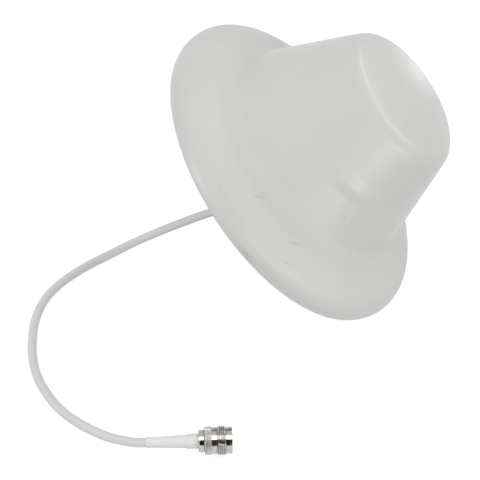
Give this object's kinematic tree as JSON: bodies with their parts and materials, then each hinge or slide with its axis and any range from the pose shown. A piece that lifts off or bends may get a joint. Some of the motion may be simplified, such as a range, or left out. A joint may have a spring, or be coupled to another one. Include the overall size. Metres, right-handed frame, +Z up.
{
  "type": "indoor ceiling antenna",
  "caption": "Hat-shaped omni ceiling antenna of a cellular signal booster, with a hollow threaded mounting stud and a short coax pigtail.",
  "frame": {"origin": "on the table under the middle of the antenna's own bounding box, the antenna standing on the rear rim of its brim and leaning back on its coax", "axes": "+Z up; the dome's axis lies in the XZ plane, 43 degrees above +X; +Y across the brim's full diameter, away from the side where the connector lies"},
  "size_m": [0.2254, 0.2573, 0.1551],
  "materials": {
    "radome_abs": "satin moulded white ABS with a fine moulding texture",
    "base_abs": "matt moulded white ABS",
    "nut_abs": "satin moulded white plastic",
    "grommet_pvc": "soft white PVC",
    "screw_steel": "zinc plated",
    "aluminium_sheet": "rolled sheet",
    "brass": "turned",
    "copper_sheet": "pressed copper sheet",
    "ptfe": "waxy white PTFE",
    "tinned_braid": "tinned copper braid",
    "cable_jacket": "smooth white PVC jacket",
    "heat_shrink": "matt white polyolefin",
    "nickel_plate": "nickel plated brass, knurled and threaded",
    "gold_contact": "gold plated"
  },
  "bodies": {
    "antenna": {"radome": "radome_abs", "base_plate": "base_abs", "base_screws": "screw_steel", "cable_grommet": "grommet_pvc", "ground_plane": "aluminium_sheet", "ground_screws": "screw_steel", "feed_collar": "brass", "collar_nut": "brass", "feed_insulator": "ptfe", "feed_pin": "brass", "radiator_cone": "copper_sheet", "radiator_cap": "copper_sheet", "shorting_straps": "copper_sheet", "strap_rivets": "aluminium_sheet", "strap_screws": "screw_steel", "coax_lead": "cable_jacket", "coax_braid": "tinned_braid", "coax_dielectric": "ptfe", "coax_conductor": "copper_sheet", "pigtail_cable": "cable_jacket", "coax_tail": "cable_jacket", "heat_shrink_sleeve": "heat_shrink", "crimp_ferrule": "nickel_plate", "connector_rear_nut": "nickel_plate", "connector_body": "nickel_plate", "connector_insulator": "ptfe", "connector_contact": "gold_contact"},
    "washer": {"mounting_washer": "nut_abs"},
    "nut": {"mounting_nut": "nut_abs"}
  },
  "joints": [
    {"name": "washer_travel", "type": "slide", "parent": "antenna", "child": "washer", "axis": [0.7314, 0, 0.682], "range_m": [-0.002, 0.011]},
    {"name": "nut_turn", "type": "hinge", "parent": "washer", "child": "nut", "pos_m": [-0.02689, 0, 0.0549], "axis": [0.7314, 0, 0.682], "range_deg": [-360, 1980]}
  ],
  "couplings": [
    {"joint": "washer_travel", "follows": "nut_turn", "m_per_rad": 0.00031831}
  ]
}
